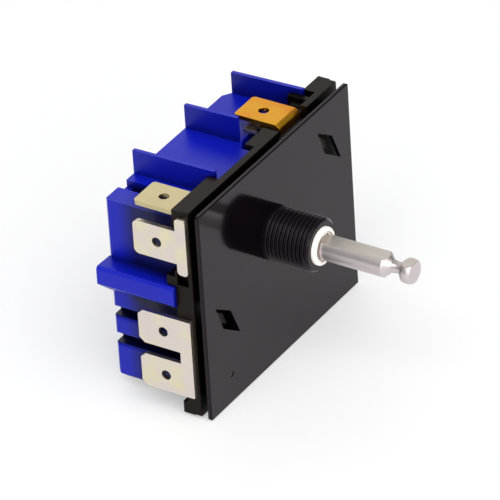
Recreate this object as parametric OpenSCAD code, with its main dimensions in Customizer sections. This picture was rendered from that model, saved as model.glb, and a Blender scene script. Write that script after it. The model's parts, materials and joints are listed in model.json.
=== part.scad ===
// Cooktop element control switch (energy regulator).
// The shaft points to -Y, +Z is up, and the origin is on the shaft's axis at the plate's front face.

/* [Front plate and bushing] */
// Width of the front plate
plate_w = 47.2; // [46.9:0.1:48]
// Height of the front plate
plate_h = 39.8; // [39.5:0.1:40.5]
// Thickness of the front plate
plate_t = 0.7; // [0.6:0.1:0.9]
// Height of the shaft's axis above the plate's centre
axis_rise = 3.9; // [3.8:0.1:4]
// Distance of the plate's middle to the right of the shaft's axis
plate_side = 0.5; // [0:0.1:0.5]
// Outer diameter of the threaded bushing
bushing_d = 9.525; // [9.5:0.005:9.55]
// Length of the bushing in front of the plate
bushing_len = 8.5; // [7:0.5:9]

/* [Shaft and sleeve] */
// Diameter of the metal shaft
shaft_d = 4.5; // [4.4:0.02:4.6]
// Height of the shaft's flat above its axis
shaft_flat = 1.65; // [1.6:0.05:1.75]
// Reach of the shaft's body in front of the plate
shaft_reach = 21; // [20:0.1:23]
// Outer diameter of the plastic sleeve in the bushing
sleeve_d = 6.68; // [6.5:0.02:6.7]
// Travel of the shaft when it is pushed in
push_travel = 1.6; // [1:0.1:2]

/* [Housing] */
// Width across the housing's side walls
housing_w = 40.8; // [40.6:0.1:41]
// Distance of the housing's rear face behind the plate's front
housing_rear = 20; // [20:0.1:22]
// Height of the housing's top face above the axis
housing_top = 12.5; // [12.4:0.1:12.7]
// Height of the fins above the top face
fin_h = 4.7; // [3.5:0.1:5]
// Thickness of the fins
fin_t = 0.75; // [0.6:0.05:1]

/* [Mechanism] */
// Cam radius under the follower when the switch is off
cam_low = 5; // [4.6:0.1:5]
// Rise of the cam track over the whole turn
cam_rise = 3; // [2.5:0.1:3]
// Turn of the shaft from off to its stop, in degrees
cam_turn = 280; // [240:10:280]

/* [Hidden] */
$fn = 48;

eps = 0.01;
black = [0.10, 0.09, 0.10];
frame_black = [0.14, 0.12, 0.10];
royal_blue = [0.10, 0.10, 0.72];
ivory = [0.93, 0.90, 0.80];
zinc = [0.62, 0.60, 0.59];
tin = [0.84, 0.80, 0.72];
brass = [0.85, 0.60, 0.25];
copper = [0.72, 0.42, 0.25];
silver = [0.80, 0.80, 0.82];
ceramic_white = [0.92, 0.91, 0.88];

// Plate outline, seen from the front
plate_left = plate_side - plate_w / 2;
plate_right = plate_side + plate_w / 2;
plate_top = plate_h / 2 - axis_rise;
plate_low = -plate_h / 2 - axis_rise;

// Black base frame behind the plate
frame_y = 1.9;
frame_wall = 1.2;
frame_back = frame_y + frame_wall;
frame_x = plate_w / 2 - 0.35;
frame_bar_back = 4.5;
frame_block_back = 5.05;
frame_top = plate_top + 0.35;
frame_low = plate_low + 0.5;
block_low = 12.8;

// Blue housing and the hollow in it
housing_x = housing_w / 2;
housing_low = -22.3;
cavity_x = housing_x - 2.8;
cavity_low = -20;
cavity_top = housing_top - 1.8;
cavity_back = housing_rear - 1.8;
cavity_shelf_x = -12;
cavity_shelf_top = 8.5;
fin_x = [-11.5, 4.4, 17.4];
fin_front = [4.1, 9.65, 4.9];
fin_tops = [[fin_h, fin_h - 0.28], [fin_h, fin_h - 0.28], [fin_h - 0.28, fin_h - 0.72]];
fin_back = [housing_rear, housing_rear, housing_rear - 1.06];
ledge_x = -24.1;
ledge_front = 5.2;
rib_slot_depth = 2.2;
rib_slots = [[-10.2, -8.5], [-15.6, -13.8]];

// Quick-connect tabs
tab_w = 6.35;
tab_t = 0.8;
tab_hole_r = 0.9;
tab_side_x = -frame_x - tab_t;
tab_flat_top = 15.7;
tab_left_x = -22.7;
tab_right_x = 7.45;
leg_front = 3.15;
leg_back = leg_front + tab_t;
tab_bend = 1.2;
link_z = [13.1, 13.7];

// Sleeve, cam and shaft
running = 0.06;
sleeve_r = sleeve_d / 2;
shaft_r = shaft_d / 2;
sleeve_nose = bushing_len + 0.7;
sleeve_recess = 0.5;
shaft_groove = [sleeve_nose - 0.65, sleeve_nose + 0.15];
cam_disc_r = 9;
cam_disc_y = [3.4, 6.0];
cam_track_y = [6.0, 8.6];
tail_r = 3.9;
tail_back = 14.5;
chamber_r = 2.95;
chamber_front = 6.2;
clip_y = [6.3, 7.0];
plug_front = 13.0;
pivot_r = 1.6;
pivot_back = 17.8;
pivot_boss_front = 15.0;
shaft_tip = [
    [shaft_r, 0], [1.15, 1.1], [1.0, 2.2], [1.0, 3.1], [1.6, 3.25],
    [2.1, 3.6], [2.2, 4.2], [2.15, 5.0], [1.95, 5.35], [0, 5.4]
];
shaft_back = 7.5;
off_notch_r = 8.2;

// Control lever and the follower nose
lever_pivot = [13, -9.5];
lever_hub_r = 2.4;
lever_pin_r = 1.0;
follower_gap = 0.12;
nose_r = 0.9;
nose_z = -(cam_low + follower_gap + nose_r);
lever_bar_y = [6.3, 8.4];
lever_hub_y = [6.3, 14.5];
clamp_y = [9.6, 13.6];

// Thermal arm carried by the lever
strip_y = [10.0, 13.2];
strip_z = [-10.3, -9.6];
strip_x = [-12, 10.3];
clamp_x = [7.6, 11.4];
screw_at = [9.0, 11.6];
push_pin_x = -9;
blade_z = [-5.75, -5.45];
blade_y = [9.8, 13.4];
contact_x = -14.2;
contact_r = 1.4;

// Line contact pair on the left
line_blade_x = [-10.9, -10.6];
line_blade_y = [3.6, 7.4];
line_blade_z = [-7.3, 8.4];
line_rivet_z = -6.0;
line_contact_z = 6.5;
line_leg_x = [-13.9, -13.1];

// Extrusions of a flat outline along one axis, between two positions
module along_y(from, to) {
    translate([0, to, 0]) rotate([90, 0, 0]) linear_extrude(to - from) children();
}

module along_x(from, to) {
    translate([from, 0, 0]) rotate([90, 0, 90]) linear_extrude(to - from) children();
}

module along_z(from, to) {
    translate([0, 0, from]) linear_extrude(to - from) children();
}

// A block from its lowest to its highest corner
module block(low, high) {
    translate(low) cube(high - low);
}

// A turned outline round the shaft's axis: each point is [radius, y]
module turned(outline) {
    rotate([-90, 0, 0]) rotate_extrude($fn = 96) polygon(outline);
}

// A round bar along Y
module rod_y(at, r, from, to) {
    translate([at[0], from, at[1]]) rotate([-90, 0, 0]) cylinder(h = to - from, r = r);
}

// A rectangle with round corners
module round_rect(low, high, r) {
    size = high - low;
    translate([low[0] + r, low[1]]) square([size[0] - 2 * r, size[1]]);
    translate([low[0], low[1] + r]) square([size[0], size[1] - 2 * r]);
    for (u = [low[0] + r, high[0] - r], v = [low[1] + r, high[1] - r]) translate([u, v]) circle(r);
}

// Points of an arc, for outlines with a rounded corner
function arc(centre, r, a0, a1, steps = 6) =
    [for (i = [0:steps]) let (a = a0 + (a1 - a0) * i / steps) centre + r * [cos(a), sin(a)]];

// Outline of a quick-connect tab that points to +U, with its clipped tip; root at u = 0
function tab_outline(length, width, clip) = [
    [0, -width / 2], [length - clip, -width / 2], [length, -width / 2 + clip * 0.9],
    [length, width / 2 - clip * 0.9], [length - clip, width / 2], [0, width / 2]
];

// Outline with flats left and right of a round shaft: a D with its flat on top
module d_section(r, flat) {
    intersection() {
        circle(r, $fn = 64);
        translate([-2 * r, -2 * r]) square([4 * r, 2 * r + flat]);
    }
}

// The slanted latch windows in the plate, on opposite sides of the shaft
module latch_windows(size) {
    outline = [[-3.3, 4], [1.1, 1.2], [3.5, -4.3], [-1.4, -0.95]];
    for (centre = [[-16.5, -7.5], [17.1, 7.7]]) translate(centre)
        polygon([for (p = outline) size * p]);
}

// Black front plate moulded with the bushing; the bushing's fine thread is not cut
module front_plate() {
    chamfer = 0.2;
    boss_r = 9;
    color(black) difference() {
        union() {
            along_y(0, plate_t) round_rect([plate_left, plate_low], [plate_right, plate_top], 0.6);
            turned([[0, -bushing_len], [bushing_d / 2 - 0.5, -bushing_len], [bushing_d / 2, -bushing_len + 0.5],
                    [bushing_d / 2, 0], [0, 0]]);
            rod_y([0, 0], boss_r, plate_t - eps, frame_y);
            for (x = [plate_left + 4, plate_right - 4], z = [plate_low + 4, plate_top - 4])
                rod_y([x, z], 1.6, plate_t - eps, frame_y);
        }
        rod_y([0, 0], sleeve_r + running, -bushing_len - 1, frame_y + 1);
        along_y(-1, plate_t + 1) latch_windows(1);
        for (z = [plate_top, plate_low]) translate([0, 0, z]) along_x(plate_left - 1, plate_right + 1)
            polygon([[-1, -chamfer - 1], [chamfer, 0], [-1, chamfer + 1]]);
        for (x = [plate_left, plate_right]) translate([x, 0, 0]) along_z(plate_low - 1, plate_top + 1)
            polygon([[-chamfer - 1, -1], [0, chamfer], [chamfer + 1, -1]]);
        rod_y([-16.2, -18.4], 0.5, -0.01, 0.15);
    }
}

// Black base frame: a wall with deep corner blocks that hold the terminals
module base_frame() {
    hood_right = 5;
    color(frame_black) difference() {
        union() {
            along_y(frame_y, frame_back) round_rect([-frame_x, frame_low], [frame_x, frame_top], 0.3);
            // side bars, the top blocks and the feet
            for (sx = [0, 1]) mirror([sx, 0, 0])
                block([-frame_x, frame_back - eps, frame_low + 2.2], [-housing_x - 0.05, frame_bar_back, block_low]);
            block([-frame_x, frame_back - eps, block_low], [-11.9, frame_block_back, frame_top]);
            block([18.5, frame_back - eps, block_low], [frame_x, 5.3, frame_top]);
            for (sx = [0, 1]) mirror([sx, 0, 0]) {
                block([-frame_x, frame_back - eps, frame_low], [-housing_x - 0.05, 5.3, frame_low + 2.2]);
                block([-frame_x, frame_back - eps, frame_low], [-19.6, 5.3, housing_low - 0.05]);
            }
            block([-19.6, frame_back - eps, frame_low], [19.6, frame_bar_back, housing_low - 0.05]);
            // hood over the link strip, and the support under the brass tab
            block([-0.7, frame_back - eps, frame_top - 0.85], [hood_right, 4.9, frame_top]);
            block([6.4, frame_back - eps, housing_top + 0.05], [15, 7.1, tab_flat_top - tab_t]);
            // stepped lug between the brass tab and the right fin
            block([16.3, frame_back - eps, housing_top + 0.05], [fin_x[2] - 0.05, 7.2, 15.9]);
            block([15 - eps, frame_back - eps, housing_top + 0.05], [16.3 + eps, 6.0, 15.1]);
            // boss of the lever's pin
            rod_y(lever_pivot, 2.2, frame_back - eps, 6.0);
            // hooks that hold the front plate
            along_y(1.3, frame_y + eps) latch_windows(0.5);
            // lug over the front end of the housing's ledge
            block([-frame_x, frame_back - eps, -4.6], [-housing_x - 0.05, ledge_front - 0.05, 4.6]);
            block([-frame_x, frame_back - eps, 1.45], [-housing_x - 0.05, 6.8, 3.3]);
        }
        rod_y([0, 0], sleeve_r + 0.35, frame_y - 1, frame_back + 1);
        rod_y(lever_pivot, lever_pin_r + 0.01, frame_back, 7);
        // dark pocket below the upper left terminal
        block([-frame_x - 1, 2.6, 1.9], [-frame_x + 1.2, ledge_front - 0.4, 4.3]);
        // slot and drop of the top left terminal
        block([tab_left_x, leg_front, tab_flat_top - tab_t], [line_leg_x[1], 6, tab_flat_top]);
        block([line_leg_x[0], leg_front, block_low - 1], [line_leg_x[1], 6, tab_flat_top - tab_t + eps]);
        // slots of the side terminals' legs
        block([-frame_x - 1, leg_front, 4.7], [-housing_x, leg_back, 7.7]);
        block([-frame_x - 1, leg_front, -7.5], [-housing_x, leg_back, -4.6]);
        // slots of the brass tab's leg and of the link strip under it, and the low edge before the bend
        block([tab_right_x, leg_front, 10], [tab_right_x + tab_w, leg_back, tab_flat_top]);
        block([tab_right_x, leg_front, tab_flat_top - tab_bend], [tab_right_x + tab_w, leg_front + tab_bend, tab_flat_top]);
        block([hood_right, frame_y - 1, 14.2], [tab_right_x + tab_w + 0.1, leg_front + eps, frame_top + 1]);
        block([11, leg_back - eps, 10], [13.8, leg_back + 0.6, link_z[1]]);
        block([6.9, leg_back - eps, link_z[0]], [13.8, leg_back + 0.6, link_z[1]]);
        block([6.9, leg_back, link_z[0]], [9.9, 8, link_z[1]]);
    }
}

// A slot in the left wall, with a rounded mouth
module rib_slot(z) {
    mouth = 0.6;
    outer = -housing_x + mouth;
    along_y(6, housing_rear + 1) polygon(concat(
        [[-housing_x - 1, z[1] + mouth]],
        arc([outer, z[1] + mouth], mouth, 180, 270),
        [[-housing_x + rib_slot_depth, z[1]], [-housing_x + rib_slot_depth, z[0]]],
        arc([outer, z[0] - mouth], mouth, 90, 180),
        [[-housing_x - 1, z[0] - mouth]]
    ));
}

// Outline of the long ledge on the left side, in x and z
function ledge_outline() = concat(
    [[-housing_x + 0.5, 1.2], [ledge_x + 0.9, 1.35]],
    arc([ledge_x + 0.6, 0.75], 0.6, 90, 180, 4),
    arc([ledge_x + 0.4, -1.8], 0.4, 180, 225, 2),
    [[-housing_x + 0.5, -5.7]]
);

// Blue housing: open to the front, with fins, a ledge and slotted ribs between the tabs
module terminal_housing() {
    corner = 0.5;
    fin_clip = [fin_x[2], fin_back[2]];
    color(royal_blue) difference() {
        union() {
            difference() {
                block([-housing_x, frame_back, housing_low], [housing_x, housing_rear, housing_top]);
                // clipped rear edges
                for (sx = [-1, 1]) translate([sx * housing_x, housing_rear, housing_low - 1])
                    rotate([0, 0, 45]) translate([-corner / sqrt(2), -corner / sqrt(2), 0])
                    cube([2, 2, housing_top - housing_low + 2]);
                translate([0, housing_rear, housing_low]) rotate([45, 0, 0])
                    translate([-housing_x - 1, -1, -1.1]) cube([2 * housing_x + 2, 2, 2]);
                translate([-housing_x, 0, housing_low]) rotate([0, 45, 0])
                    translate([-0.5, 0, -0.5]) cube([1, housing_rear + 1, 1]);
            }
            for (i = [0:2]) along_x(fin_x[i], fin_x[i] + fin_t) polygon([
                [fin_front[i], housing_top - eps], [fin_back[i], housing_top - eps],
                [fin_back[i], housing_top + fin_tops[i][1]], [fin_front[i], housing_top + fin_tops[i][0]]
            ]);
            along_y(ledge_front, housing_rear + 0.2) polygon(ledge_outline());
        }
        // hollow for the mechanism
        block([cavity_shelf_x, frame_back - 1, cavity_low], [cavity_x, cavity_back, cavity_top]);
        block([-cavity_x, frame_back - 1, cavity_low], [cavity_shelf_x + eps, cavity_back, cavity_shelf_top]);
        // front notches for the terminals' legs
        block([line_leg_x[0] - 0.1, frame_back - 1, cavity_shelf_top - 1], [line_leg_x[1] + 0.1, 8.1, housing_top + 1]);
        block([-housing_x - 1, frame_back - 1, 4.6], [-cavity_x + 1, leg_back + 0.1, 7.8]);
        block([-housing_x - 1, frame_back - 1, -7.6], [-cavity_x + 1, leg_back + 0.1, -4.5]);
        block([10.9, frame_back - 1, cavity_top - 1], [13.9, leg_back + 0.7, housing_top + 1]);
        // opening in the top for the link strip
        along_z(cavity_top - 1, housing_top + 1)
            polygon([[3.0, 4.7], [10.95, 4.7], [10.95, 9.4], [5.3, 9.4], [3.0, 8.2]]);
        // slots between the ribs of the left wall
        for (z = rib_slots) rib_slot(z);
        // pocket beside the corner block, with a low rear wall
        block([-16.3, 9, 9.7], [-13.8, housing_rear - 1.2, housing_top + 1]);
        block([-16.3, 9, 11.2], [-13.8, housing_rear + 1, housing_top + 1]);
        // clipped corner behind the right fin
        along_z(housing_top - 3, housing_top + fin_h + 1) polygon([
            [fin_x[2] - 1.5, housing_rear], fin_clip, [housing_x + 1, fin_clip[1]],
            [housing_x + 1, housing_rear + 1], [fin_x[2] - 1.5, housing_rear + 1]
        ]);
        // shallow recess in the rear face
        along_y(housing_rear - 0.5, housing_rear + 1) round_rect([-15, -17.5], [13, 8.5], 2);
    }
    // bearing of the cam's rear pivot
    color(royal_blue) difference() {
        rod_y([0, 0], 3.6, pivot_boss_front, cavity_back + eps);
        rod_y([0, 0], pivot_r + running, pivot_boss_front - 1, cavity_back - 0.2);
    }
    // bearing of the lever's pin
    color(royal_blue) difference() {
        rod_y(lever_pivot, 2.2, 15.2, cavity_back + eps);
        rod_y(lever_pivot, lever_pin_r + running, 14, cavity_back - 0.3);
    }
}

// Radius of the cam track at an angle past the follower
function track_radius(a) =
    a <= cam_turn + 15 ? cam_low + cam_rise * a / cam_turn
    : a >= 340 ? cam_low
    : let (top = cam_low + cam_rise * (cam_turn + 15) / cam_turn) top + (cam_low - top) * (a - cam_turn - 15) / (340 - cam_turn - 15);

// Ivory sleeve that runs in the bushing, with the cam disc and its track
module cam_sleeve() {
    step = 4;
    track = [for (a = [0:step:360 - step]) track_radius(a) * [cos(a - 90), sin(a - 90)]];
    shoulder = sleeve_nose - 0.35;
    color(ivory) difference() {
        union() {
            turned(concat([[0, -sleeve_nose]],
                [for (p = arc([sleeve_r - 0.35, shoulder], 0.35, 90, 0, 4)) [p[0], -p[1]]],
                [[sleeve_r, cam_disc_y[0]], [0, cam_disc_y[0]]]));
            difference() {
                rod_y([0, 0], cam_disc_r, cam_disc_y[0] - eps, cam_disc_y[1]);
                // low place of the rim, beside the blade's button at off
                along_y(cam_disc_y[0] - 1, cam_disc_y[1] + 1)
                    translate([-cam_disc_r - 1, -2.2]) square([cam_disc_r + 1 - off_notch_r, 4.4]);
            }
            along_y(cam_track_y[0] - eps, cam_track_y[1]) polygon(track);
            rod_y([0, 0], tail_r, cam_track_y[1] - eps, tail_back);
        }
        along_y(-sleeve_nose - 1, chamber_front + eps) d_section(shaft_r + running, shaft_flat + running);
        rod_y([0, 0], shaft_r + 0.4, -sleeve_nose - 1, -sleeve_nose + sleeve_recess);
        rod_y([0, 0], chamber_r, chamber_front, tail_back + 1);
    }
}

// Plug that closes the sleeve and turns in the housing's rear bearing
module sleeve_end_plug() {
    color(ivory) {
        rod_y([0, 0], chamber_r, plug_front, tail_back);
        turned([[0, tail_back - eps], [pivot_r, tail_back - eps], [pivot_r, pivot_back - 0.3], [pivot_r - 0.3, pivot_back], [0, pivot_back]]);
    }
}

// Zinc shaft with its flat, neck and ball end
module drive_shaft() {
    color(zinc) difference() {
        union() {
            along_y(-shaft_reach, shaft_back) d_section(shaft_r, shaft_flat);
            intersection() {
                turned(concat([[0, -shaft_reach + eps], [shaft_r, -shaft_reach + eps]],
                    [for (p = shaft_tip) [p[0], -shaft_reach - p[1]]]));
                block([-5, -shaft_reach - 6, -5], [5, 0, shaft_flat]);
            }
        }
        // groove of the retaining clip, and the shallow groove at the sleeve's end
        for (groove = [[clip_y[0], clip_y[1], 1.55], [-shaft_groove[1], -shaft_groove[0], shaft_r - 0.3]])
            difference() {
                rod_y([0, 0], 3, groove[0], groove[1]);
                rod_y([0, 0], groove[2], groove[0] - 1, groove[1] + 1);
            }
    }
}

// Open retaining clip behind the sleeve's D-shaped hole
module shaft_clip() {
    color(silver) along_y(clip_y[0], clip_y[1]) difference() {
        circle(2.8);
        circle(1.6);
        translate([-1.1, -4]) square([2.2, 4]);
    }
}

// Coil spring behind the shaft: rings of points along a helix
module push_spring() {
    turns = 5;
    wire_r = 0.3;
    coil_r = 2.0;
    sides = 8;
    per_turn = 20;
    y0 = shaft_back + wire_r + 0.02;
    y1 = plug_front - wire_r - 0.02;
    count = turns * per_turn;
    points = [for (i = [0:count], j = [0:sides - 1]) let (
        a = 360 * i / per_turn,
        b = 360 * j / sides,
        r = coil_r + wire_r * cos(b)
    ) [r * cos(a), y0 + (y1 - y0) * i / count + wire_r * sin(b), r * sin(a)]];
    walls = [for (i = [0:count - 1], j = [0:sides - 1]) let (n = (j + 1) % sides)
        [i * sides + j, (i + 1) * sides + j, (i + 1) * sides + n, i * sides + n]];
    caps = [[for (j = [0:sides - 1]) j], [for (j = [sides - 1:-1:0]) count * sides + j]];
    color(silver) polyhedron(points, concat(walls, caps));
}

// A flat tab that points to +Y and lies level, with its hole
module level_tab(x, tip, top) {
    along_z(top - tab_t, top) difference() {
        translate([x + tab_w / 2, frame_block_back]) rotate(90) polygon(tab_outline(tip - frame_block_back, tab_w, 0.45));
        translate([x + tab_w / 2, tip - 4.0]) circle(tab_hole_r);
    }
}

// Top left terminal: tab, root in the frame's block and the leg down to the fixed line contact
module terminal_top_left() {
    color(tin) {
        level_tab(tab_left_x, 12.8, tab_flat_top);
        block([tab_left_x, leg_front, tab_flat_top - tab_t], [line_leg_x[1], frame_block_back + eps, tab_flat_top]);
        block([line_leg_x[0], leg_front, 11], [line_leg_x[1], frame_block_back, tab_flat_top - tab_t + eps]);
        block([line_leg_x[0], leg_front, 2], [line_leg_x[1], 8, 11 + eps]);
    }
}

// Brass tab at the top right, bent down in front of its support
module terminal_top_right() {
    leg_low = 11.1;
    bend = [leg_front + tab_bend, tab_flat_top - tab_bend];
    color(brass) {
        level_tab(tab_right_x, 12.3, tab_flat_top);
        along_x(tab_right_x, tab_right_x + tab_w) polygon(concat(
            [[frame_block_back + eps, tab_flat_top - tab_t], [frame_block_back + eps, tab_flat_top]],
            arc(bend, tab_bend, 90, 180),
            [[leg_front, housing_top + 0.05], [leg_back, housing_top + 0.05]],
            arc(bend, tab_bend - tab_t, 180, 90)
        ));
        block([11, leg_front, leg_low], [13.8, leg_back, housing_top + 0.05 + eps]);
    }
}

// Strip that joins the brass tab to the snap blade, with a short tongue under the tab
module link_strip() {
    t = 0.6;
    front = leg_back;
    foot = [-5.3, -4.5];
    color(tin) {
        block([6.9, front, link_z[0]], [9.9, 10.1, link_z[1]]);
        block([9.9 - eps, front, link_z[0]], [11 + eps, front + t, link_z[1]]);
        block([11, front, foot[1] - eps], [13.8, front + t, link_z[1]]);
        difference() {
            block([11, front, foot[0]], [13.8, 13.4, foot[1]]);
            translate([12.3, 11.6, foot[0] - 1]) cylinder(h = 3, r = 0.62);
        }
    }
}

// A tab on the left side that points to +Y, in y and z: root, tip, centre height
module side_tab(root, tip, z) {
    translate([root, z]) polygon(tab_outline(tip - root, tab_w, 1.0));
}

// Upper left terminal: upright bar with one tab, and the strip that runs inside to the contact
module terminal_upper_left() {
    inner = [-cavity_x + 0.1, -cavity_x + 0.9];
    foot = [-7.9, -7.1];
    color(tin) {
        along_x(tab_side_x, -frame_x) difference() {
            union() {
                round_rect([2.1, 4.5], [4.1, 15.3], 0.7);
                round_rect([2.6, 9.7 - tab_w / 2], [12.3, 9.7 + tab_w / 2], 1.0);
            }
            translate([7.8, 9.7]) circle(tab_hole_r);
        }
        block([-frame_x - eps, leg_front, 4.7], [inner[1], leg_back, 7.7]);
        block([inner[0], leg_back - eps, 4.7], [inner[1], 13.2, 7.7]);
        block([inner[0], 9.8, foot[0]], [inner[1], 13.2, 4.7 + eps]);
        block([inner[1] - eps, 9.8, foot[0]], [-12.6, 13.2, foot[1]]);
    }
}

// Lower left terminal: one sheet with two tabs, and the leg to the line blade
module terminal_lower_left() {
    anchor = [-12.0, -11.2];
    color(tin) {
        along_x(tab_side_x, -frame_x) difference() {
            union() {
                round_rect([2.4, -19.47], [4.7, -4.58], 0.3);
                side_tab(4.5, 12.6, -7.76);
                side_tab(4.5, 12.6, -16.29);
            }
            for (z = [-7.76, -16.29]) translate([7.8, z]) circle(tab_hole_r);
        }
        block([-frame_x - eps, leg_front, -7.5], [anchor[0] + eps, leg_back, -4.6]);
        difference() {
            block([anchor[0], leg_front, -7.5], [anchor[1], 7.4, -4.6]);
            translate([anchor[0] - 1, 5.5, line_rivet_z]) rotate([0, 90, 0]) cylinder(h = 3, r = 0.62);
        }
    }
}

// Spring blade of the line contact, pushed by the cam's rim
module line_blade() {
    color(copper) difference() {
        along_x(line_blade_x[0], line_blade_x[1])
            round_rect([line_blade_y[0], line_blade_z[0]], [line_blade_y[1], line_blade_z[1]], 0.6);
        for (hole = [[5.5, line_rivet_z, 0.75], [5.5, line_contact_z, 0.6], [4.9, 0, 0.6]])
            translate([line_blade_x[0] - 1, hole[0], hole[1]]) rotate([0, 90, 0]) cylinder(h = 3, r = hole[2]);
    }
}

// A rivet along X: shank between two heads
module rivet_x(y, z, from, to, shank_r, head_r, head_t) {
    translate([from, y, z]) rotate([0, 90, 0]) {
        cylinder(h = head_t, r = head_r);
        cylinder(h = to - from, r = shank_r);
        translate([0, 0, to - from - head_t]) cylinder(h = head_t, r = head_r);
    }
}

module line_blade_rivet() {
    color(brass) rivet_x(5.5, line_rivet_z, -12.5, -9.8, 0.6, 1.2, 0.5);
}

// Insulating button between the cam's rim and the blade
module blade_button() {
    color(ivory) translate([line_blade_x[1], 4.9, 0]) rotate([0, 90, 0]) {
        translate([0, 0, -0.3]) cylinder(h = 0.4, r = 0.55);
        cylinder(h = 0.9, r = 1.1);
        translate([0, 0, 0.9]) cylinder(h = 0.4, r1 = 1.1, r2 = 0.7);
    }
}

module line_moving_contact() {
    color(silver) translate([line_blade_x[0] - 0.5, 5.5, line_contact_z]) rotate([0, 90, 0]) {
        cylinder(h = 0.5, r = contact_r - 0.2);
        cylinder(h = 0.85, r = 0.55);
    }
}

module line_fixed_contact() {
    color(silver) translate([line_leg_x[1], 5.5, line_contact_z]) rotate([0, 90, 0])
        cylinder(h = 0.5, r = contact_r);
}

// Snap blade of the cycling contact
module snap_blade() {
    color(copper) difference() {
        along_z(blade_z[0], blade_z[1]) difference() {
            round_rect([-15.6, blade_y[0]], [13.6, blade_y[1]], 0.6);
            // long window between the blade's two outer strips
            round_rect([-6.5, 11.1], [7.5, 12.1], 0.4);
        }
        for (hole = [[12.3, 0.75], [contact_x, 0.6]])
            translate([hole[0], 11.6, blade_z[0] - 1]) cylinder(h = 3, r = hole[1]);
    }
}

module snap_blade_rivet() {
    color(brass) translate([12.3, 11.6, -6.3]) {
        cylinder(h = 0.4, r = 1.2);
        cylinder(h = 2.2, r = 0.6);
        translate([0, 0, 1.8]) cylinder(h = 0.4, r = 1.2);
    }
}

module cycling_moving_contact() {
    color(silver) translate([contact_x, 11.6, blade_z[0] - 0.6]) {
        cylinder(h = 0.6, r = contact_r);
        cylinder(h = 0.95, r = 0.55);
    }
}

module cycling_fixed_contact() {
    color(silver) translate([contact_x, 11.6, -7.1]) cylinder(h = 0.6, r = contact_r);
}

// Lever with the follower nose on the cam track and the clamp of the thermal arm
module control_lever() {
    bar_z = [-9.3, -7.3];
    color(ivory) difference() {
        union() {
            rod_y(lever_pivot, lever_hub_r, lever_hub_y[0], lever_hub_y[1]);
            along_y(lever_bar_y[0], lever_bar_y[1]) {
                translate([0, bar_z[0]]) square([lever_pivot[0], bar_z[1] - bar_z[0]]);
                translate([0, (bar_z[0] + bar_z[1]) / 2]) circle(1.0);
                translate([-nose_r, bar_z[0] + 1]) square([2 * nose_r, nose_z - bar_z[0] - 1]);
                translate([0, nose_z]) circle(nose_r);
            }
            block([clamp_x[0], clamp_y[0], -11.9], [lever_pivot[0], clamp_y[1], -8.0]);
        }
        rod_y(lever_pivot, lever_pin_r + running, 5, 16);
        block([clamp_x[0] - 1, clamp_y[0] - 1, strip_z[0] - 0.15], [clamp_x[1] - 0.6, clamp_y[1] + 1, strip_z[1] + 0.15]);
        translate([screw_at[0], screw_at[1], strip_z[1]]) cylinder(h = 3, r = 1.3);
    }
}

module lever_pin() {
    color(silver) rod_y(lever_pivot, lever_pin_r, frame_back + 0.1, cavity_back - 0.5);
}

module bimetal_strip() {
    color(copper) difference() {
        block([strip_x[0], strip_y[0], strip_z[0]], [strip_x[1], strip_y[1], strip_z[1]]);
        translate([push_pin_x, screw_at[1], strip_z[0] - 1]) cylinder(h = 3, r = 0.5);
    }
}

// Heater wound on a ceramic sleeve round the strip
module heater_sleeve() {
    wall = 0.5;
    turns = 9;
    x0 = -5.5;
    pitch = 1.2;
    color(ceramic_white) difference() {
        union() {
            block([x0, strip_y[0] - wall, strip_z[0] - wall], [x0 + turns * pitch + 0.6, strip_y[1] + wall, strip_z[1] + wall]);
            for (i = [0:turns - 1])
                block([x0 + 0.6 + i * pitch, strip_y[0] - wall - 0.25, strip_z[0] - wall - 0.25],
                      [x0 + 1.2 + i * pitch, strip_y[1] + wall + 0.25, strip_z[1] + wall + 0.25]);
        }
        block([x0 - 1, strip_y[0], strip_z[0]], [x0 + 13, strip_y[1], strip_z[1]]);
    }
}

module push_pin() {
    color(ceramic_white) translate([push_pin_x, screw_at[1], strip_z[0]]) {
        cylinder(h = 1, r = 0.48);
        translate([0, 0, strip_z[1] - strip_z[0]]) cylinder(h = blade_z[0] - 0.2 - strip_z[1], r = 0.9);
    }
}

module calibration_screw() {
    head_low = -8.0;
    color(brass) difference() {
        translate([screw_at[0], screw_at[1], strip_z[1] + 0.2]) {
            cylinder(h = head_low - strip_z[1] - 0.2 + eps, r = 1.25);
            translate([0, 0, head_low - strip_z[1] - 0.2]) cylinder(h = 1.0, r = 1.8);
        }
        block([screw_at[0] - 2, screw_at[1] - 0.25, -7.4], [screw_at[0] + 2, screw_at[1] + 0.25, -6]);
    }
}

front_plate();
base_frame();
terminal_housing();
cam_sleeve();
sleeve_end_plug();
drive_shaft();
shaft_clip();
push_spring();
terminal_top_left();
terminal_top_right();
link_strip();
terminal_upper_left();
terminal_lower_left();
line_blade();
line_blade_rivet();
blade_button();
line_moving_contact();
line_fixed_contact();
snap_blade();
snap_blade_rivet();
cycling_moving_contact();
cycling_fixed_contact();
control_lever();
lever_pin();
bimetal_strip();
heater_sleeve();
push_pin();
calibration_screw();
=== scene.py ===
import json

import bmesh
import bpy
import numpy as np
from mathutils import Matrix, Vector


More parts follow.
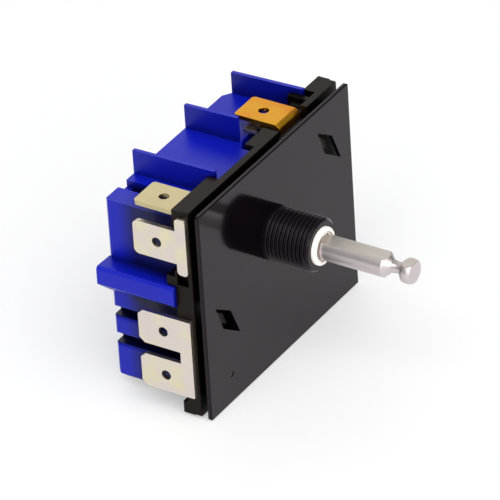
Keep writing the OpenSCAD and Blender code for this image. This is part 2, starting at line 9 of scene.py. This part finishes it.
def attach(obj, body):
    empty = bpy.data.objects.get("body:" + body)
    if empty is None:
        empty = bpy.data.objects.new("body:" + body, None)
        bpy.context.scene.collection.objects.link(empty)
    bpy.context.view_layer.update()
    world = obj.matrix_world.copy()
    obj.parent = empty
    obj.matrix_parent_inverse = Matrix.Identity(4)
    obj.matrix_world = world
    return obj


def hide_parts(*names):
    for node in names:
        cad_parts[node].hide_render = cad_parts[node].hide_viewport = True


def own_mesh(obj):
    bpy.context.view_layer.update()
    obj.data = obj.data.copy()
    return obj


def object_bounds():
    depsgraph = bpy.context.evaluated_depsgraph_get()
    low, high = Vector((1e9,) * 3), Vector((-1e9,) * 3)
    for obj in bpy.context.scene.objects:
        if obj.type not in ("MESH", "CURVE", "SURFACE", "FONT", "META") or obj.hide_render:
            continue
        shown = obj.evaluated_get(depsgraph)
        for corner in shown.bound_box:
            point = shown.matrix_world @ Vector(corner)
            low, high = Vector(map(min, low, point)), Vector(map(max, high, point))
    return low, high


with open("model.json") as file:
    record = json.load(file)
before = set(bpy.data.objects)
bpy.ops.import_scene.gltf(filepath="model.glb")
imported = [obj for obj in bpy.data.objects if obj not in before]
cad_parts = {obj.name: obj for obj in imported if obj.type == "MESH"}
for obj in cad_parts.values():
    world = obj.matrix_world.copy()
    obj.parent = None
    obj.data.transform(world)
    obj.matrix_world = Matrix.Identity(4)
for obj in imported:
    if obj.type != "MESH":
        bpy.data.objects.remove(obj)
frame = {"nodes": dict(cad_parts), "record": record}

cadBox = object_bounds()

# camera, from the plate's corners, the tabs and the shaft in the photograph

camera = {
    "place": (-0.698858, -0.461010, 0.533284),  # metres
    "right": (0.525337, -0.849162, -0.054256),  # the picture's directions
    "down": (-0.483391, -0.245361, -0.840316),
    "forward": (0.700253, 0.467677, -0.539374),
    "lens": 432.0,  # millimetres, as is the sensor's width
    "sensor": 36.0,
    "near": 0.05,  # metres
    "far": 20.0,
}


def addCamera(spec):
    # stands at its place, and its own axes are right, up and back
    data = bpy.data.cameras.new("camera")
    data.lens = spec["lens"]
    data.sensor_width = spec["sensor"]
    data.clip_start = spec["near"]
    data.clip_end = spec["far"]
    holder = bpy.data.objects.new("camera", data)
    bpy.context.scene.collection.objects.link(holder)
    axes = Matrix((spec["right"], [-v for v in spec["down"]], [-v for v in spec["forward"]]))
    holder.matrix_world = Matrix.Translation(spec["place"]) @ axes.transposed().to_4x4()
    return holder


bpy.context.scene.camera = addCamera(camera)
print("camera made")

# light: a sky and large soft lamps, each given by azimuth and height in degrees, and watts

studio = {
    "floorGap": 0.00002,  # metres below the object
    "floorHalf": 6.0,
    "floorLight": (0.47, 0.47, 0.47),
    "floorDark": (0.45, 0.45, 0.45),
    "floorClouds": (3.0, 2.0),  # noise scale and detail
    "floorCloudShare": 0.15,
    "floorRough": 0.75,
    "floorGlow": 0.39,  # a lit table, which keeps the shadow pale
    "skyColor": (0.97, 0.98, 1.0),
    "skyStrength": 0.36,
    "lampDistance": 1.5,
    "lampSize": 0.8,
    "lampColor": (1, 1, 1),
    "warmLamp": (1.0, 0.995, 0.985),
}
lamps = {
    "frontLeft": {
        "azimuth": 213, "height": 38, "power": 23.2, "size": 2.2, "color": studio["warmLamp"],
    },
    "front": {
        "azimuth": 250, "height": 38, "power": 10.6, "size": 1.8, "color": studio["warmLamp"],
    },
    "left": {"azimuth": 180, "height": 35, "power": 0.7},
    "backRight": {"azimuth": 33, "height": 33, "power": 1.75, "color": (1.0, 0.98, 0.95)},
    "back": {"azimuth": 70, "height": 40, "power": 4.2, "size": 1.5},
    "highLeft": {"azimuth": 180, "height": 60, "power": 3.8},
    "highFront": {"azimuth": 240, "height": 60, "power": 2.8},
    "highRight": {"azimuth": 300, "height": 60, "power": 1.8},
}


def softLamp(name, spec):
    # a square lamp that looks at the object
    data = bpy.data.lights.new(name, "AREA")
    data.shape = "SQUARE"
    data.size = spec.get("size", studio["lampSize"])
    data.energy = spec["power"]
    data.color = spec.get("color", studio["lampColor"])
    lamp = bpy.data.objects.new(name, data)
    bpy.context.scene.collection.objects.link(lamp)
    azimuth, height = np.radians(spec["azimuth"]), np.radians(spec["height"])
    flat = np.cos(height)
    aim = Vector((np.cos(azimuth) * flat, np.sin(azimuth) * flat, np.sin(height)))
    lamp.location = aim * studio["lampDistance"]
    lamp.rotation_mode = "QUATERNION"
    lamp.rotation_quaternion = aim.to_track_quat("Z", "Y")
    return lamp


for name, spec in lamps.items():
    softLamp(name, spec)

world = bpy.data.worlds.new("studioSky")
world.use_nodes = True
sky = world.node_tree.nodes["Background"]
sky.inputs["Color"].default_value = (*studio["skyColor"], 1)
sky.inputs["Strength"].default_value = studio["skyStrength"]
bpy.context.scene.world = world
bpy.context.scene.view_settings.view_transform = "Standard"
print("light made:", len(lamps), "lamps and a sky")


# shader maths: a wrapped socket, so that an expression adds its own nodes
class Wire:
    def __init__(self, tree, socket):
        self.tree = tree
        self.socket = socket

    def maths(self, operation, *others, swap=False):
        node = self.tree.nodes.new("ShaderNodeMath")
        node.operation = operation
        terms = [self, *others]
        if swap:
            terms.reverse()
        for slot, value in zip(node.inputs, terms):
            if isinstance(value, Wire):
                self.tree.links.new(value.socket, slot)
            else:
                slot.default_value = value
        return Wire(self.tree, node.outputs[0])

    def __add__(self, other):
        return self.maths("ADD", other)

    def __radd__(self, other):
        return self.maths("ADD", other, swap=True)

    def __sub__(self, other):
        return self.maths("SUBTRACT", other)

    def __rsub__(self, other):
        return self.maths("SUBTRACT", other, swap=True)

    def __mul__(self, other):
        return self.maths("MULTIPLY", other)

    def __rmul__(self, other):
        return self.maths("MULTIPLY", other, swap=True)

    def __truediv__(self, other):
        return self.maths("DIVIDE", other)

    def __rtruediv__(self, other):
        return self.maths("DIVIDE", other, swap=True)

    def __pow__(self, other):
        return self.maths("POWER", other)

    def __rpow__(self, other):
        return self.maths("POWER", other, swap=True)

    def clamp(self):
        # between 0 and 1
        return self.maths("MINIMUM", 1.0).maths("MAXIMUM", 0.0)


# one material: a node is added by its type, with settings first and sockets after
class Paint:
    def __init__(self, name):
        self.material = bpy.data.materials.new(name)
        self.material.use_nodes = True
        self.tree = self.material.node_tree
        self.shader = self.tree.nodes["Principled BSDF"]

    def plug(self, slot, value):
        if isinstance(value, Wire):
            self.tree.links.new(value.socket, slot)
        elif slot.type == "RGBA":
            slot.default_value = (*value, 1)
        else:
            slot.default_value = value

    def node(self, kind, settings, sockets, output=0):
        # sockets and outputs by name or number; a tuple of outputs gives a list
        made = self.tree.nodes.new(kind)
        for key, value in settings.items():
            setattr(made, key, value)
        for key, value in sockets.items():
            self.plug(made.inputs[key], value)
        if isinstance(output, tuple):
            return [Wire(self.tree, made.outputs[one]) for one in output]
        return Wire(self.tree, made.outputs[output])

    def coordinates(self, output):
        return self.node("ShaderNodeTexCoord", {}, {}, output)

    def split(self, vector):
        return self.node("ShaderNodeSeparateXYZ", {}, {"Vector": vector}, ("X", "Y", "Z"))

    def noise(self, scale, detail, stretch=(1, 1, 1)):
        spot = self.node("ShaderNodeMapping", {"vector_type": "POINT"},
                         {"Vector": self.coordinates("Object"), "Scale": stretch})
        return self.node("ShaderNodeTexNoise", {},
                         {"Vector": spot, "Scale": scale, "Detail": detail})

    def blend(self, amount, first, second):
        # of two colours, which are the Mix node's sockets 6 and 7
        return self.node("ShaderNodeMix", {"data_type": "RGBA"},
                         {0: amount, 6: first, 7: second}, output=2)

    def bump(self, height, strength, distance):
        return self.node("ShaderNodeBump", {},
                         {"Height": height, "Strength": strength, "Distance": distance})

    def within(self, limits):
        # each limit climbs from 0 at its start to 1 after its run, which may point the other
        # way, along x, y or z in metres; the result is their product
        place = dict(zip("xyz", self.split(self.coordinates("Object"))))
        share = 1.0
        for axis, start, run in limits:
            share = share * ((place[axis] - start) / run).clamp()
        return share

    def finish(self, sockets):
        for key, value in sockets.items():
            self.plug(self.shader.inputs[key], value)
        return self.material


# moulded plastics: a dark and a light tone, clouds in the roughness, a fine grain, and painted
# shade in recesses where a colour for it is given

plastics = {
    "housing_blue": {
        "light": (0.0022, 0.0080, 0.38), "dark": (0.0014, 0.0056, 0.31), "rough": 0.36,
        "grain": 900.0, "depth": 0.00003, "ior": 1.33, "hollow": (0.0004, 0.0010, 0.024),
        "shaded": True,
    },
    "plate_black": {
        "light": (0.0045, 0.0025, 0.0042), "dark": (0.0022, 0.0014, 0.0022), "rough": 0.10,
        "grain": 1300.0, "depth": 0.000004, "ior": 1.295, "gloss": (1.0, 0.87, 0.94),
    },
    "frame_black": {
        "light": (0.0064, 0.0038, 0.0022), "dark": (0.0034, 0.0022, 0.0014), "rough": 0.34,
        "grain": 900.0, "depth": 0.00002, "ior": 1.22, "gloss": (1.0, 0.90, 0.84),
        "hollow": (0.0004, 0.0003, 0.0004),
    },
    "sleeve_ivory": {
        "light": (0.97, 0.94, 0.89), "dark": (0.90, 0.85, 0.76), "rough": 0.45,
        "grain": 900.0, "depth": 0.00002, "ior": 1.5,
    },
    "ceramic": {
        "light": (0.88, 0.87, 0.84), "dark": (0.80, 0.78, 0.74), "rough": 0.6,
        "grain": 1200.0, "depth": 0.00003, "ior": 1.5,
    },
}
plasticSkin = {
    "clouds": (90.0, 4.0),  # noise scale and detail
    "mottle": (170.0, 2.0),
    "mottleShare": 1.6,
    "grainDetail": 3.0,
    "bump": 0.25,
    "roughBase": 0.82,  # of the plastic's own roughness, and what clouds and grain add
    "roughClouds": 0.26,
    "roughGrain": 0.10,
    "gloss": (1, 1, 1),
}
# painted shade in recesses, from how much of a half sphere round a point is open
hollows = {
    "reach": 0.004,  # metres
    "samples": 12,
    "deep": 0.32,  # open share of a half sphere that takes the whole of the painted shade's colour
    "open": 0.78,  # and the share that takes none
}

# painted shade on the housing: places painted darker, and tops kept lighter, by a share of the
# way. Each limit is an axis, where it starts and how far it takes, in metres
shades = {
    "tops": {"limits": [("z", 12.2e-3, 0.2e-3)], "share": 0.75},  # kept lighter, clear of the painted shade
    "fins": {  # painted shade on left faces, more so to the right
        "limits": [("z", 12.2e-3, 0.6e-3)], "share": 0.22,
        "moreLimits": [("x", 0.0, 12e-3)], "more": 0.30,
    },
    "leftWall": {  # holds the next two painted shades; what faces up in it is painted less dark
        "limits": [("x", -22.5e-3, 1.5e-3), ("x", -15e-3, -1e-3)], "topsFree": 0.7,
    },
    # painted shade on the wall beside the tabs
    "besideTabs": {"limits": [("y", 17.6e-3, -3.1e-3)], "share": 0.85},
    # painted shade on the wall under the ledge
    "underLedge": {
        "limits": [("z", -6.3e-3, 0.9e-3), ("z", -2e-3, -0.5e-3), ("y", 17e-3, -2e-3)],
        "share": 0.9,
    },
    "ribSlots": {  # painted shade, fully dark
        "limits": [("x", -20.36e-3, 0.4e-3), ("x", -18.0e-3, -0.2e-3)],
        "upper": [("z", -10.8e-3, 0.3e-3), ("z", -7.9e-3, -0.3e-3)],
        "lower": [("z", -16.2e-3, 0.3e-3), ("z", -13.2e-3, -0.3e-3)],
    },
}


def openShare(paint):
    # 0 where little light gets in and 1 in the open, from how much of a half sphere is free;
    # it sets how much painted shade a place takes
    free = paint.node("ShaderNodeAmbientOcclusion", {"samples": hollows["samples"]},
                      {"Distance": hollows["reach"]}, output="AO")
    return ((free - hollows["deep"]) / (hollows["open"] - hollows["deep"])).clamp()


def shadedShare(paint, mask):
    # painted shade by place. 1 is open: tops go up by a share of what is missing, and the
    # other places lose a share
    facingRight, _, facingUp = paint.split(paint.coordinates("Normal"))
    up, left = facingUp.clamp(), (-1 * facingRight).clamp()
    tops, fins, wall = shades["tops"], shades["fins"], shades["leftWall"]
    mask = mask + (1 - mask) * (tops["share"] * (up * paint.within(tops["limits"])))
    depth = fins["share"] + fins["more"] * paint.within(fins["moreLimits"])
    mask = mask * (1 - left * paint.within(fins["limits"]) * depth)
    onWall = paint.within(wall["limits"]) * (1 - wall["topsFree"] * up)
    for part in ("besideTabs", "underLedge"):
        place = onWall * paint.within(shades[part]["limits"])
        mask = mask * (1 - shades[part]["share"] * place)
    for height in ("upper", "lower"):
        slot = paint.within(shades["ribSlots"]["limits"] + shades["ribSlots"][height])
        mask = mask * (1 - slot)
    return mask


def mouldedPlastic(slot, spec):
    # where a colour of painted shade is given, it fills the places that little light gets into
    paint = Paint(slot)
    skin = plasticSkin
    cloud = paint.noise(*skin["clouds"])
    fine = paint.noise(spec["grain"], skin["grainDetail"])
    color = paint.blend(cloud, spec["dark"], spec["light"])
    if "hollow" in spec:
        mask = openShare(paint)
        if spec.get("shaded"):
            mask = shadedShare(paint, mask)
        # painted shade: the dark colour blended in where little light gets in
        color = paint.blend(mask, spec["hollow"], color)
    height = fine + paint.noise(*skin["mottle"]) * skin["mottleShare"]
    uneven = skin["roughBase"] + cloud * skin["roughClouds"] + fine * skin["roughGrain"]
    return paint.finish({
        "Base Color": color,
        "Roughness": spec["rough"] * uneven,
        "Normal": paint.bump(height, skin["bump"], spec["depth"]),
        "IOR": spec["ior"],
        "Specular Tint": spec.get("gloss", skin["gloss"]),
    })


# sheet metals: rolling lines along the strip, a faint cloud of stain, and on the shaft a
# painted shade on what faces up

metals = {
    "shaft_zinc": {
        "light": (0.68, 0.62, 0.62), "dark": (0.52, 0.47, 0.48), "rough": 0.36,
        # flat: a darker tone painted as shade on what faces up, the D-flat most
        "along": (1, 0.12, 1), "flat": (0.46, 0.43, 0.375),
    },
    "tab_tin": {
        "light": (0.72, 0.65, 0.60), "dark": (0.63, 0.57, 0.52), "rough": 0.34,
        "along": (1, 0.2, 1), "warm": (0.51, 0.44, 0.25), "stain": (0.72, 0.66, 0.44),
    },
    "tab_brass": {
        "light": (0.66, 0.33, 0.019), "dark": (0.56, 0.26, 0.013), "rough": 0.30,
        "along": (1, 0.2, 1), "stain": (0.60, 0.22, 0.015),
    },
    "spring_steel": {
        "light": (0.66, 0.66, 0.66), "dark": (0.50, 0.50, 0.50), "rough": 0.28,
        "along": (1, 1, 1),
    },
    "blade_copper": {
        "light": (0.80, 0.46, 0.26), "dark": (0.62, 0.33, 0.18), "rough": 0.30,
        "along": (0.2, 1, 1),
    },
    "rivet_brass": {
        "light": (0.86, 0.66, 0.34), "dark": (0.66, 0.48, 0.22), "rough": 0.32,
        "along": (1, 1, 1),
    },
    "contact_silver": {
        "light": (0.90, 0.90, 0.88), "dark": (0.76, 0.76, 0.74), "rough": 0.26,
        "along": (1, 1, 1),
    },
    "bimetal": {
        "light": (0.66, 0.62, 0.56), "dark": (0.52, 0.48, 0.42), "rough": 0.36,
        "along": (0.2, 1, 1),
    },
}
metalSkin = {
    "clouds": (140.0, 4.0),  # noise scale and detail
    "lines": (700.0, 2.0),
    "stains": (260.0, 2.0),
    "middle": 0.5,  # of a noise
    "cloudShare": 0.7,
    "lineShare": 0.3,
    "stainFrom": 0.46,  # noise at which a stain begins, and how fast it comes in
    "stainGain": 4,
    # the painted shade on what faces up
    "flatShare": 0.7,
    "flatLines": 0.6,
    "flatPower": 2.0,  # keeps the painted shade off the round side
    "warmTop": [("z", 14.5e-3, 0.2e-3), ("x", -23.0e-3, 0.2e-3)],  # the top left tab
    "roughLines": 0.16,
    "roughClouds": 0.12,
    "heightClouds": 0.5,
    "bump": 0.3,
    "depth": 0.00002,
}


def rolledMetal(slot, spec):
    # stains lie anywhere, a painted shade on what faces up, the warm tone within its limits
    paint = Paint(slot)
    skin = metalSkin
    cloud = paint.noise(*skin["clouds"])
    lines = paint.noise(*skin["lines"], spec["along"])
    tone = cloud * skin["cloudShare"] + lines * skin["lineShare"]
    color = paint.blend(tone, spec["dark"], spec["light"])
    if "stain" in spec:
        stain = (paint.noise(*skin["stains"]) - skin["stainFrom"]) * skin["stainGain"]
        color = paint.blend(stain.clamp(), color, spec["stain"])
    # painted shade: a darker tone on what faces up, the flat most
    if "flat" in spec:
        _, _, facingUp = paint.split(paint.coordinates("Normal"))
        share = skin["flatShare"] + skin["flatLines"] * (lines - skin["middle"])
        color = paint.blend(facingUp.clamp() ** skin["flatPower"] * share, color, spec["flat"])
    if "warm" in spec:
        color = paint.blend(paint.within(skin["warmTop"]), color, spec["warm"])
    uneven = (lines - skin["middle"]) * skin["roughLines"]
    uneven = uneven + (cloud - skin["middle"]) * skin["roughClouds"]
    height = lines + cloud * skin["heightClouds"]
    return paint.finish({
        "Base Color": color,
        "Metallic": 1.0,
        "Roughness": spec["rough"] + uneven,
        "Normal": paint.bump(height, skin["bump"], skin["depth"]),
    })


materials = {slot: mouldedPlastic(slot, spec) for slot, spec in plastics.items()}
materials.update({slot: rolledMetal(slot, spec) for slot, spec in metals.items()})

record = frame["record"]
slotOf = {entry["node"]: entry["material_slot"] for entry in record["subparts"]}
bodies = record["behaviour"]["bodies"]
bodyOf = {node: body for body, nodes in bodies.items() for node in nodes}
for name, solid in frame["nodes"].items():
    solid.data.materials.clear()
    solid.data.materials.append(materials[slotOf[name]])
print("materials made:", len(materials))


def addPiece(name, mesh, slot, body, instead=None):
    # links a mesh as a piece of its own, with its material slot and the body it moves with
    piece = bpy.data.objects.new(name, mesh)
    bpy.context.scene.collection.objects.link(piece)
    mesh.materials.clear()
    mesh.materials.append(materials[slot])
    if instead:
        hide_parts(instead)
    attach(piece, body)
    return piece


# edges rounded inwards, by a width in metres for each node

softEdges = {
    "terminal_housing": {"width": 0.00030, "segments": 3},
    "base_frame": {"width": 0.00010},
    "front_plate": {"width": 0.00012},
    "terminal_top_left": {"width": 0.00007},
    "terminal_top_right": {"width": 0.00007},
    "terminal_upper_left": {"width": 0.00007},
    "terminal_lower_left": {"width": 0.00007},
    "link_strip": {"width": 0.00005},
    "drive_shaft": {"width": 0.00008},
}
rounding = {
    "segments": 2,
    "sharp": 28.0,  # degrees between faces from which an edge is rounded
    "flat": 1.0,  # degrees between faces that are joined
    "weld": 1e-6,  # metres
}
bushingWall = {
    "inner": 4.2e-3,  # metres from the shaft's axis
    "outer": 5e-3,
    "plateFront": 1e-6,
    "frontFace": -0.95,  # a face that looks to the front more than this stays
}


def withoutBushingWall(bm):
    # takes the bushing's outer wall and chamfer away, for the thread to fill
    def outside(face):
        radii = [np.hypot(v.co.x, v.co.z) for v in face.verts]
        inRing = min(radii) > bushingWall["inner"] and max(radii) < bushingWall["outer"]
        return inRing and max(v.co.y for v in face.verts) < bushingWall["plateFront"]

    old = [f for f in bm.faces if outside(f) and f.normal.y > bushingWall["frontFace"]]
    bmesh.ops.delete(bm, geom=old, context="FACES")


def softCopy(node, width, segments=rounding["segments"], cut=None):
    # a merged copy of the node's mesh, flat faces joined, sharp edges rounded inwards
    mesh = bpy.data.meshes.new(node + "Soft")
    bm = bmesh.new()
    bm.from_mesh(frame["nodes"][node].data)
    bmesh.ops.remove_doubles(bm, verts=bm.verts, dist=rounding["weld"])
    if cut:
        cut(bm)
    flat = np.radians(rounding["flat"])
    bmesh.ops.dissolve_limit(bm, angle_limit=flat, verts=bm.verts, edges=bm.edges)
    bm.to_mesh(mesh)
    bm.free()
    mesh.shade_smooth()
    piece = addPiece(node + "Soft", mesh, slotOf[node], bodyOf[node], instead=node)
    bevel = piece.modifiers.new("rounding", "BEVEL")
    bevel.width = width
    bevel.segments = segments
    bevel.limit_method = "ANGLE"
    bevel.angle_limit = np.radians(rounding["sharp"])
    smooth = piece.modifiers.new("normals", "WEIGHTED_NORMAL")
    smooth.keep_sharp = True
    return piece


for name, spec in softEdges.items():
    softCopy(name, cut=withoutBushingWall if name == "front_plate" else None, **spec)
print("edges softened:", len(softEdges))


def gridMesh(name, points):
    # rows x columns x 3 points, each joined to its neighbours, and each row closed on itself
    rows, columns = points.shape[:2]
    index = np.arange(rows * columns).reshape(rows, columns)
    index = np.concatenate([index, index[:, :1]], axis=1)
    corners = [index[:-1, :-1], index[:-1, 1:], index[1:, 1:], index[1:, :-1]]
    faces = np.stack(corners, axis=-1).reshape(-1, 4)
    mesh = bpy.data.meshes.new(name)
    mesh.from_pydata(points.reshape(-1, 3).tolist(), [], faces.tolist())
    mesh.validate()
    mesh.shade_smooth()
    return mesh


# thread of the bushing

thread = {
    "pitch": 0.79375e-3,  # 32 turns to the inch
    "outer": 4.7625e-3,
    "depth": 0.42e-3,
    "front": -8.5e-3,
    "chamfer": 0.5e-3,
    "plain": 0.5e-3,  # run-out beside the plate, and the share of it without a groove
    "plainShare": 0.3,
    "steep": 1.25,  # of the groove's sides
    "crest": 0.12,  # height of the triangle wave that the crest's flat cuts off
    "perTurn": 14,
    "around": 96,
    "rimShrink": 0.985,  # the ring at the front, drawn in and back
    "rimStep": 0.05e-3,
    "rootStep": 0.1e-3,  # into the plate
}


def threadSurface():
    # radius = outer less the depth of a rounded V that climbs one pitch per turn
    t = thread
    rows = np.linspace(t["front"], 0.0, int(-t["front"] / t["pitch"] * t["perTurn"]))
    columns = np.linspace(0, 2 * np.pi, t["around"], endpoint=False)
    y, angle = np.meshgrid(rows, columns, indexing="ij")
    phase = (y / t["pitch"] + angle / (2 * np.pi)) % 1.0
    groove = np.clip((1 - np.abs(2 * phase - 1)) * t["steep"] - t["crest"], 0, 1)
    groove = 0.5 - 0.5 * np.cos(np.pi * groove)
    # the groove fades out beside the plate, and the front end is cut to a cone
    fade = np.clip(-y / t["plain"] - t["plainShare"], 0, 1)
    radius = t["outer"] - t["depth"] * groove * fade
    radius = np.minimum(radius, t["outer"] - t["chamfer"] + (y - t["front"]))
    points = np.stack([radius * np.cos(angle), y, radius * np.sin(angle)], axis=-1)
    shrink = np.array([t["rimShrink"], 1, t["rimShrink"]])
    rim = points[:1] * shrink + np.array([0, t["rimStep"], 0])
    root = points[-1:] + np.array([0, t["rootStep"], 0])
    return np.concatenate([rim, points, root])


addPiece("bushingThread", gridMesh("bushingThread", threadSurface()), "plate_black", "housing")
print("thread made")


def sweptWire(line, radius, axis, sides):
    # a round wire along a line of points: a ring is the radius times the cosine of an angle
    # in one direction plus its sine in another, and both are square to the line
    step = np.gradient(line, axis=0)
    step /= np.linalg.norm(step, axis=1, keepdims=True)
    side = np.cross(step, axis)
    side /= np.linalg.norm(side, axis=1, keepdims=True)
    up = np.cross(side, step)
    angle = np.linspace(0, 2 * np.pi, sides, endpoint=False)[None, :, None]
    ring = side[:, None] * np.cos(angle) + up[:, None] * np.sin(angle)
    points = line[:, None] + radius * ring
    # both ends close on the line's own end points
    first = np.repeat(line[:1, None], sides, axis=1)
    last = np.repeat(line[-1:, None], sides, axis=1)
    return np.concatenate([first, points, last])


# coil spring behind the shaft

spring = {
    "radius": 2.0e-3,
    "wire": 0.3e-3,
    "start": 7.84e-3,
    "end": 12.66e-3,
    "turns": 5,
    "perTurn": 36,
    "sides": 10,
    "closing": 0.9,  # how much slower the coil climbs at its ends
    "seat": 13.0e-3,  # the end that stays
    "keep": 0.7,  # share of its length with the shaft pushed in
}


def springLine():
    # the climb is slower at both ends, where the coils close
    c = spring
    s = np.linspace(0, 1, c["turns"] * c["perTurn"] + 1)
    angle = 2 * np.pi * c["turns"] * s
    climb = s - c["closing"] * np.sin(2 * np.pi * s) / (2 * np.pi)
    y = c["start"] + (c["end"] - c["start"]) * climb
    return np.stack([c["radius"] * np.cos(angle), y, c["radius"] * np.sin(angle)], axis=-1)


springWire = sweptWire(springLine(), spring["wire"], (0.0, 1.0, 0.0), spring["sides"])
springPiece = addPiece("pushSpringWire", gridMesh("pushSpringWire", springWire),
                       "spring_steel", "cam", instead="push_spring")
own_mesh(springPiece)
print("spring made")

# heater: a ceramic sleeve round the strip, with its winding

heater = {
    "centre": (0.0, 11.6e-3, -9.95e-3),
    "from": -5.5e-3,
    "to": 5.9e-3,
    "hole": (1.6e-3, 0.35e-3),  # half width and half height
    "holeRound": 0.05e-3,
    "wall": 0.5e-3,
    "wallRound": 0.25e-3,
    "edge": 0.1e-3,  # chamfer at both ends
    "edgeRound": 0.2e-3,
    "around": 64,
    "wire": 0.11e-3,
    "wireGap": 0.01e-3,
    "wireRound": 0.3e-3,
    "wireSides": 8,
    "bare": 0.6e-3,  # at each end
    "turns": 18,
    "perTurn": 48,
}
loopSteps = 2048  # fine points from which the even ones are read
loopStretch = 4  # of the ellipse before its sides are cut off


def roundedLoop(halfWide, halfHigh, radius, count):
    # a rectangle with round corners, in y and z: a stretched ellipse, cut off at the flats,
    # plus a circle of the corners' radius, then spaced evenly by its length
    fine = np.linspace(0, 2 * np.pi, loopSteps)
    flatY, flatZ = halfWide - radius, halfHigh - radius
    y = np.clip(np.cos(fine) * loopStretch * halfWide, -flatY, flatY) + radius * np.cos(fine)
    z = np.clip(np.sin(fine) * loopStretch * halfHigh, -flatZ, flatZ) + radius * np.sin(fine)
    way = np.concatenate([[0], np.cumsum(np.hypot(np.diff(y), np.diff(z)))])
    even = np.linspace(0, way[-1], count, endpoint=False)
    return np.interp(even, way, y), np.interp(even, way, z)


def heaterSleeve():
    # outer wall, both ends and the hole's wall, each ring a loop
    h = heater
    inner = (0.0, h["holeRound"])
    chamfer = (h["wall"] - h["edge"], h["edgeRound"])
    outer = (h["wall"], h["wallRound"])
    rings = [
        (h["from"], inner), (h["from"], chamfer), (h["from"] + h["edge"], outer),
        (h["to"] - h["edge"], outer), (h["to"], chamfer), (h["to"], inner), (h["from"], inner),
    ]
    loops = []
    for x, (grow, radius) in rings:
        y, z = roundedLoop(h["hole"][0] + grow, h["hole"][1] + grow, radius, h["around"])
        loops.append(np.stack([np.full_like(y, x), y, z], axis=-1))
    return np.array(loops) + np.array(h["centre"])


def heaterLine():
    # each turn follows the sleeve's outline while x moves on steadily
    h = heater
    gap = h["wall"] + h["wire"] + h["wireGap"]
    y, z = roundedLoop(h["hole"][0] + gap, h["hole"][1] + gap, h["wireRound"], h["perTurn"])
    x = np.linspace(h["from"] + h["bare"], h["to"] - h["bare"], h["turns"] * h["perTurn"])
    line = np.stack([x, np.tile(y, h["turns"]), np.tile(z, h["turns"])], axis=-1)
    return line + np.array(h["centre"])


addPiece("heaterBody", gridMesh("heaterBody", heaterSleeve()), "ceramic", "thermal_arm",
         instead="heater_sleeve")
heaterWire = sweptWire(heaterLine(), heater["wire"], (1.0, 0.0, 0.0), heater["wireSides"])
addPiece("heaterWinding", gridMesh("heaterWinding", heaterWire), "spring_steel", "thermal_arm")
print("heater made")

# floor


def addFloor(height, half):
    # a pale square round the object, with a faint cloud and a glow of its own
    paint = Paint("studioFloor")
    cloud = paint.noise(*studio["floorClouds"]) * studio["floorCloudShare"]
    material = paint.finish({
        "Base Color": paint.blend(cloud, studio["floorLight"], studio["floorDark"]),
        "Roughness": studio["floorRough"],
        "Emission Color": studio["lampColor"],
        "Emission Strength": studio["floorGlow"],
    })
    corners = [(-half, -half, height), (half, -half, height), (half, half, height),
               (-half, half, height)]
    mesh = bpy.data.meshes.new("floor")
    mesh.from_pydata(corners, [], [(0, 1, 2, 3)])
    mesh.materials.append(material)
    floor = bpy.data.objects.new("floor", mesh)
    bpy.context.scene.collection.objects.link(floor)


addFloor(cadBox[0].z - studio["floorGap"], studio["floorHalf"])
print("floor made")
